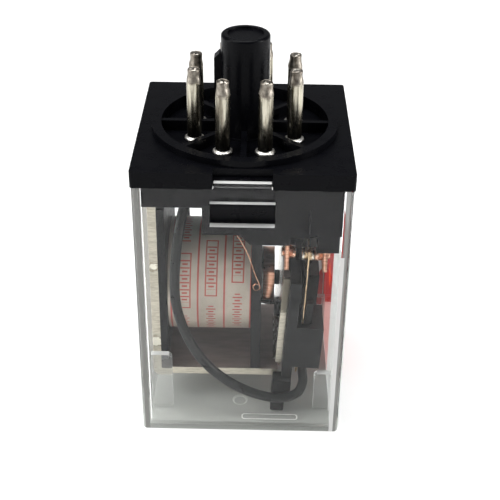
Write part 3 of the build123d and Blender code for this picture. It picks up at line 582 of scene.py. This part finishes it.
def tape_marks(s):
    """1 on the print of the tape: lines round the coil, and boxed and plain rows of bars between them."""
    x, y, z = s.axes()
    up = s.math("SUBTRACT", z, TAPE_AXIS_Z)
    round_way = s.math("MULTIPLY", s.math("ARCTAN2", s.math("MULTIPLY", y, -1.0), up), TAPE_R)
    x = s.math("ADD", x, s.math("MULTIPLY", round_way, SLANT))
    across = s.math("DIVIDE", s.math("SUBTRACT", x, LINE_FIRST), LINE_PITCH)
    column = s.math("FLOOR", across)
    from_line = s.math("PINGPONG", s.math("SUBTRACT", x, LINE_FIRST), LINE_PITCH / 2)
    lines = s.math("LESS_THAN", from_line, LINE_HALF)
    centre = s.math("SUBTRACT", LINE_PITCH / 2, from_line)
    start = s.math("ADD", ROW_START + ROW_SHIFT, s.math("MULTIPLY", column, ROW_SHIFT))
    turns = s.math("DIVIDE", s.math("SUBTRACT", round_way, start), ROW_PITCH)
    along = s.math("MULTIPLY", s.math("FRACT", s.math("ADD", turns, WHOLE_TURNS)), ROW_PITCH)
    box = s.both(s.band(along, 0.0, BOX_LENGTH), s.math("LESS_THAN", centre, BOX_HALF))
    hollow = s.both(s.band(along, BOX_LINE, BOX_LENGTH - BOX_LINE),
                    s.math("LESS_THAN", centre, BOX_HALF - BOX_LINE))
    outline = s.math("SUBTRACT", box, hollow)
    cell = s.math("FRACT", s.math("DIVIDE", along, BAR_PITCH))
    long_bars = s.both(s.math("LESS_THAN", cell, 0.20), s.math("LESS_THAN", centre, LONG_BAR_HALF))
    short_bars = s.both(s.band(cell, 0.45, 0.70), s.math("LESS_THAN", centre, SHORT_BAR_HALF))
    bars = s.math("ADD", long_bars, short_bars)
    boxed = s.band(along, BAR_MARGIN, BOX_LENGTH - BAR_MARGIN)
    plain = s.band(along, PLAIN_START, PLAIN_START + PLAIN_LENGTH)
    return s.math("MAXIMUM", s.math("MAXIMUM", lines, outline), s.both(bars, s.math("ADD", boxed, plain)))


def coil_tape():
    s = Shader("coil_tape", (0.66, 0.60, 0.52), 0.5)
    paper = s.mix(s.ramp(s.noise(0.35, 3), 0.3, 0.7), (0.50, 0.44, 0.37), (0.41, 0.355, 0.295))
    ink = s.mix(s.ramp(s.noise(2.0, 3), 0.3, 0.7), (0.48, 0.050, 0.038), (0.34, 0.036, 0.030))
    s.set("Base Color", s.mix(s.math("MULTIPLY", tape_marks(s), 0.88), paper, ink))
    s.polish(1.0, 0.34, 0.52)
    s.bump(s.noise(0.4, 4, (1.0, 0.35, 0.35)), 0.5, 0.12)
    return s.material


PANEL_END = 18.0
PANEL_BASE = 4.4
PANEL_RISE = 0.70
SLASH_TOP = 16.9
SLASH_SLOPE = 2.19
DISC_AT = (12.0, 19.0)
DISC_R = 2.2


def label_film():
    """White film with a slanting red field near the back corner, pink below it, and an orange disc. The
    fields are placed by the way along the film: 0 at the corner, less on the back wall."""
    s = Shader("label_film", (0.80, 0.81, 0.79), 0.42)
    x, y, z = s.axes()
    along = s.math("SUBTRACT", x, y)
    on_back = s.math("MINIMUM", along, 0.0)
    on_side = s.math("MAXIMUM", along, 0.0)
    past_corner = s.math("GREATER_THAN", along, 0.0)
    panel = s.math("LESS_THAN", along, PANEL_END)
    lower = s.math("ADD", PANEL_BASE, s.math("MULTIPLY", on_side, PANEL_RISE))
    slash = s.math("ADD", SLASH_TOP, s.math("MULTIPLY", on_back, SLASH_SLOPE))
    under_slash = s.math("MAXIMUM", s.math("LESS_THAN", z, slash), past_corner)
    red = s.both(s.both(panel, under_slash), s.math("GREATER_THAN", z, lower))
    disc = s.math("LESS_THAN", s.distance(along, z, *DISC_AT), DISC_R)
    paper = s.mix(s.ramp(s.noise(0.4, 3), 0.3, 0.7), (0.77, 0.78, 0.77), (0.72, 0.73, 0.72))
    color = s.mix(s.both(panel, past_corner), paper, (0.70, 0.50, 0.48))
    color = s.mix(red, color, (0.50, 0.028, 0.022))
    color = s.mix(disc, color, (0.80, 0.17, 0.03))
    s.set("Base Color", color)
    s.polish(0.9, 0.36, 0.5)
    s.bump(s.noise(0.3, 3), 0.2, 0.1)
    behind = s.node("ShaderNodeBsdfTranslucent")
    s.link(color, behind.inputs["Color"])
    inward, _, _ = s.facing()
    s.mix_with(s.ramp(s.math("LESS_THAN", inward, -0.5), 0, 1, 0.5, 0.92), behind)
    return s.material


def floor_white():
    s = Shader("floor", (0.84, 0.84, 0.84), 0.6)
    s.mottle((0.85, 0.85, 0.85), (0.83, 0.83, 0.83), 0.02)
    return s.material


MATERIALS = {
    make.__name__: make()
    for make in (base_plastic, inner_plastic, clear_plastic, pin_nickel, solder, plated_steel, core_steel,
                 copper, contact_copper, contact_silver, spring_bronze, magnet_wire, lead_insulation,
                 spring_steel, coil_tape, label_film)
}
SLOT_OF = {part["node"]: part["material_slot"] for part in frame["record"]["subparts"]}

# ---- CAD nodes ---------------------------------------------------------------------------------------
EDGE_ROUND = {
    "base": 0.12,
    "cover": 0.15,
    "yoke": 0.12,
    "armature": 0.10,
    "bobbin": 0.10,
    "contact_carrier": 0.12,
}
FLAT_ANGLE = 0.5
BEVEL_ANGLE = 40


def dress(name, node):
    """Material, softened edges and smooth shading for one CAD node."""
    node.data.materials.clear()
    node.data.materials.append(MATERIALS[SLOT_OF[name]])
    node.modifiers.new("weld", "WELD").merge_threshold = 1e-6
    for polygon in node.data.polygons:
        polygon.use_smooth = True
    if name in EDGE_ROUND:
        flat = node.modifiers.new("flat", "DECIMATE")
        flat.decimate_type = "DISSOLVE"
        flat.angle_limit = math.radians(FLAT_ANGLE)
        bevel = node.modifiers.new("edges", "BEVEL")
        bevel.width = EDGE_ROUND[name] * MM
        bevel.segments = 2
        bevel.limit_method = "ANGLE"
        bevel.angle_limit = math.radians(BEVEL_ANGLE)
    node.modifiers.new("normals", "WEIGHTED_NORMAL").keep_sharp = True


def dress_all():
    for name, node in frame["nodes"].items():
        dress(name, node)


# ---- mesh helpers ------------------------------------------------------------------------------------
POLES = (("front", False), ("rear", True))


def new_piece(name, vertices, faces, slot, sharp=40):
    """Smooth-shaded mesh object from millimetre vertices, with creases over the given angle."""
    mesh = bpy.data.meshes.new(name)
    mesh.from_pydata([Vector(v) * MM for v in vertices], [], faces)
    mesh.validate()
    for polygon in mesh.polygons:
        polygon.use_smooth = True
    mesh.set_sharp_from_angle(angle=math.radians(sharp))
    mesh.materials.append(MATERIALS[slot])
    piece = bpy.data.objects.new(name, mesh)
    SCENE.collection.objects.link(piece)
    return piece


def spline(points, steps):
    """Smooth curve through the points."""
    inner = [Vector(p) for p in points]
    ends = [2 * inner[0] - inner[1]] + inner + [2 * inner[-1] - inner[-2]]
    path = []
    for a, b, c, d in zip(ends, ends[1:], ends[2:], ends[3:]):
        for i in range(steps):
            t = i / steps
            path.append(b + (c - a) * t / 2 + (2 * a - 5 * b + 4 * c - d) * t * t / 2
                        + (3 * b - a - 3 * c + d) * t ** 3 / 2)
    path.append(inner[-1])
    return path


def skin(last, count):
    """Faces over rings of vertices, numbered 0 to last, with a cap on both end rings."""
    faces = [tuple(reversed(range(count))), tuple(last * count + k for k in range(count))]
    for ring in range(last):
        for k in range(count):
            a = ring * count + k
            b = ring * count + (k + 1) % count
            faces.append((a, b, b + count, a + count))
    return faces


def sweep(path, section, side, size_at=None):
    """Vertices and faces of a section carried along a path without twist, closed at both ends."""
    vertices = []
    side = Vector(side)
    last = len(path) - 1
    count = len(section)
    for i, point in enumerate(path):
        ahead = (path[min(i + 1, last)] - path[max(i - 1, 0)]).normalized()
        side = (side - ahead * side.dot(ahead)).normalized()
        up = ahead.cross(side)
        wide, tall = size_at(i / last) if size_at else (1, 1)
        vertices += [point + side * u * wide + up * v * tall for u, v in section]
    return vertices, skin(last, count)


def circle(radius, sides):
    return [(radius * math.cos(2 * math.pi * k / sides), radius * math.sin(2 * math.pi * k / sides))
            for k in range(sides)]


def lathe(profile, sides, x, y, shift):
    """Vertices and faces of a profile of (radius, height) turned about Z, closed at both ends. The shift
    gives a change of radius and of height for each point of the profile and turn."""
    vertices = []
    for radius, height in profile:
        for k in range(sides):
            turn = 2 * math.pi * k / sides
            out, rise = shift(radius, height, turn)
            far = radius + out
            vertices.append((x + far * math.cos(turn), y + far * math.sin(turn), height + rise))
    return vertices, skin(len(profile) - 1, sides)


def joined(parts):
    """One list of vertices and faces from several."""
    vertices, faces = [], []
    for part_vertices, part_faces in parts:
        start = len(vertices)
        vertices += part_vertices
        faces += [tuple(start + k for k in face) for face in part_faces]
    return vertices, faces


def mirrored(part):
    """The same mesh on the other pole."""
    vertices, faces = part
    return [(x, -y, z) for x, y, z in vertices], [tuple(reversed(face)) for face in faces]


# ---- pins and their solder ---------------------------------------------------------------------------
PIN_CIRCLE_R = 17.45 / 2
PIN_COUNT = 8
SOLDER_RIM = 62.1
PIN_FIRST = 202.5
PIN_SIDES = 40
TIP_START = 60.2
TIP_DENT = 0.11
BODY_DENT = 0.012
PIN_PROFILE = [
    (1.05, 50.22), (1.45, 50.22), (1.57, 50.28), (1.61, 50.42), (1.57, 50.58), (1.44, 50.70), (1.28, 50.71),
    (1.19, 50.78), (1.17, 51.00), (1.17, 52.5), (1.175, 54.0), (1.175, 56.0), (1.175, 58.0), (1.17, 59.3),
    (1.165, 59.9), (1.15, 60.3), (1.11, 60.65), (1.04, 60.95), (0.985, 61.2), (0.96, 61.5), (0.965, 61.8),
    (0.975, 62.05), (0.96, 62.20), (0.90, 62.27), (0.84, 62.24), (0.80, 62.15), (0.78, 62.0),
]
DOME_PROFILE = [
    (0.83, 61.6), (0.85, 62.05), (0.86, 62.16), (0.80, 62.25), (0.68, 62.33), (0.52, 62.39), (0.34, 62.43),
    (0.16, 62.45), (0.02, 62.455),
]


def pin_places():
    for index in range(PIN_COUNT):
        turn = math.radians(PIN_FIRST + index * 360 / PIN_COUNT)
        yield index, PIN_CIRCLE_R * math.cos(turn), PIN_CIRCLE_R * math.sin(turn)


def dent(seed, tip_depth, body_depth):
    """Small dents, deeper over the tip."""
    def shift(radius, height, turn):
        depth = tip_depth if height > TIP_START else body_depth
        spot = Vector((radius * math.cos(turn), radius * math.sin(turn), height * 0.8)) * 0.9
        return depth * noise.noise(spot + Vector((seed * 7.3, 0, 0))), 0.0
    return shift


def heap(seed):
    """Uneven top of cooled solder."""
    def shift(radius, height, turn):
        spot = Vector((radius * math.cos(turn), radius * math.sin(turn), seed * 5.1)) * 1.6
        lump = noise.noise(spot)
        return 0.0, min(0.0, 0.22 * lump - 0.10) if height > SOLDER_RIM else 0.0
    return shift


def build_pins():
    blobs = []
    for index, x, y in pin_places():
        body = lathe(PIN_PROFILE, PIN_SIDES, x, y, dent(index, TIP_DENT, BODY_DENT))
        piece = new_piece(f"pin_body_{index + 1}", *body, "pin_nickel", sharp=60)
        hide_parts(f"pin_{index + 1}")
        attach(piece, "frame")
        blobs.append(lathe(DOME_PROFILE, PIN_SIDES, x, y, heap(index)))
    piece = new_piece("solder_domes", *joined(blobs), "solder", sharp=70)
    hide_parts("pin_solder")
    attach(piece, "frame")


# ---- lead sleeves ------------------------------------------------------------------------------------
LEAD_R = 0.84
LEAD_SIDES = 28
LEAD_SWELL = 0.018
LEAD_WAVES = 9
LEAD_ROUTE = [
    (-8.06, -3.34, 45.98), (-8.3, -6.4, 44.2), (-9.4, -10.2, 41.9), (-10.4, -12.6, 37.3),
    (-11.0, -13.1, 31.4), (-11.0, -13.3, 25.2), (-9.6, -13.5, 19.2), (-6.9, -13.9, 13.9),
    (-2.8, -14.3, 9.7), (2.2, -14.6, 7.0), (6.6, -14.6, 6.0), (9.7, -13.9, 6.5),
    (10.8, -12.2, 7.6), (10.75, -10.4, 8.5), (10.7, -8.95, 8.8),
]


def lead_size(t):
    """Slight swell and pinch along the sleeve."""
    swell = 1 + LEAD_SWELL * noise.noise(Vector((t * LEAD_WAVES, 0.3, 0.7)))
    return swell, swell


def build_leads():
    part = sweep(spline(LEAD_ROUTE, 10), circle(LEAD_R, LEAD_SIDES), (1, 0, 0), lead_size)
    for pole, mirror in POLES:
        piece = new_piece(f"lead_sleeve_{pole}", *(mirrored(part) if mirror else part), "lead_insulation")
        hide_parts(f"lead_wire_{pole}")
        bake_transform(piece)


# ---- coil leads --------------------------------------------------------------------------------------
WIRE_R = 0.085
WIRE_SIDES = 10
STEPS_PER_TURN = 14
COIL_LEAD_ROUTE = [
    (-3.34, -8.06, 45.95), (-2.9, -8.6, 43.4), (-2.3, -10.1, 38.6), (-0.6, -10.38, 36.0),
    (1.0, -10.4, 32.6), (2.05, -10.42, 29.2), (2.8, -10.44, 27.2),
]
PEG_X = 2.39
PEG_Z = 26.4
WRAP_R = 0.58
WRAP_TURNS = 3.5
WRAP_START_Y = -10.44
WRAP_END_Y = -10.0


def wrap_points():
    """Turns of wire round the flange peg."""
    steps = int(WRAP_TURNS * STEPS_PER_TURN)
    for i in range(steps + 1):
        share = i / steps
        turn = -2 * math.pi * WRAP_TURNS * share + math.pi / 6
        y = WRAP_START_Y + (WRAP_END_Y - WRAP_START_Y) * share
        yield Vector((PEG_X + WRAP_R * math.cos(turn), y, PEG_Z + WRAP_R * math.sin(turn)))


def build_coil_leads():
    path = spline(COIL_LEAD_ROUTE, 8) + list(wrap_points())
    part = sweep(path, circle(WIRE_R, WIRE_SIDES), (0, 1, 0))
    for pole, mirror in POLES:
        piece = new_piece(f"coil_wire_{pole}", *(mirrored(part) if mirror else part), "magnet_wire")
        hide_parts(f"coil_lead_{pole}")
        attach(piece, "frame")


# ---- contact blades ----------------------------------------------------------------------------------
BLADE_LINE = [(9.57, 8.3), (9.95, 11.0), (10.45, 19.4), (10.92, 31.75), (10.99, 33.75)]
BLADE_HALF = 2.5
BLADE_THICK = 0.25
BLADE_EDGE = 0.06
BLADE_CORNER_SHARE = 0.025
BLADE_CORNER_CUT = 0.25
POLE_Y = 8.0


def blade_section():
    """Rectangle with small rounded corners: width, thickness."""
    w, t, e = BLADE_HALF, BLADE_THICK / 2, BLADE_EDGE
    right = [(w - e, -t), (w, -t + e), (w, t - e), (w - e, t)]
    return right + [(-u, -v) for u, v in right]


def blade_size(t):
    """Rounded corners at the top and bottom of the blade."""
    near_end = min(min(t, 1 - t) / BLADE_CORNER_SHARE, 1)
    return 1 - BLADE_CORNER_CUT * (1 - near_end) ** 2, 1


def build_blades():
    path = spline([(x, -POLE_Y, z) for x, z in BLADE_LINE], 16)
    part = sweep(path, blade_section(), (0, 1, 0), blade_size)
    for pole, mirror in POLES:
        shape = mirrored(part) if mirror else part
        piece = new_piece(f"spring_blade_{pole}", *shape, "spring_bronze", sharp=60)
        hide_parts(f"moving_blade_{pole}")
        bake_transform(piece)


# ---- return spring -----------------------------------------------------------------------------------
SPRING_Z = 4.7
COIL_START = -3.2
COIL_END = 4.2
COIL_TURNS = 19
COIL_MEAN_R = 0.82
SPRING_WIRE_R = 0.17
HOOK_START = -5.4
HOOK_END = 6.95


def spring_points():
    """Hook, close-wound coil and hook, along X."""
    steps = COIL_TURNS * STEPS_PER_TURN
    yield Vector((HOOK_START, 0.25, SPRING_Z + 0.3))
    yield Vector((HOOK_START - 0.05, 0, SPRING_Z + 0.05))
    yield Vector((HOOK_START + 0.5, 0, SPRING_Z - 0.02))
    yield Vector((COIL_START - 0.35, 0, SPRING_Z + 0.1))
    for i in range(steps + 1):
        turn = 2 * math.pi * COIL_TURNS * i / steps
        x = COIL_START + (COIL_END - COIL_START) * i / steps
        yield Vector((x, COIL_MEAN_R * math.sin(turn), SPRING_Z + COIL_MEAN_R * math.cos(turn)))
    yield Vector((COIL_END + 0.35, 0, SPRING_Z + 0.1))
    yield Vector((HOOK_END - 0.5, 0, SPRING_Z - 0.02))
    yield Vector((HOOK_END + 0.05, 0, SPRING_Z + 0.05))
    yield Vector((HOOK_END, 0.25, SPRING_Z + 0.3))


def build_return_spring():
    wire = sweep(list(spring_points()), circle(SPRING_WIRE_R, WIRE_SIDES), (0, 0, 1))
    piece = new_piece("wound_spring", *wire, "spring_steel")
    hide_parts("return_spring")
    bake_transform(piece)


# ---- floor -------------------------------------------------------------------------------------------
def add_floor():
    bpy.ops.mesh.primitive_plane_add(size=FLOOR_SIZE, location=(0, 0, -FLOOR_DROP * MM))
    floor = bpy.context.object
    floor.name = "floor"
    floor.data.materials.append(floor_white())


add_camera()
add_world()
add_lights()
add_floor()
dress_all()
build_pins()
build_leads()
build_coil_leads()
build_blades()
build_return_spring()

SCENE.view_settings.view_transform = "Standard"
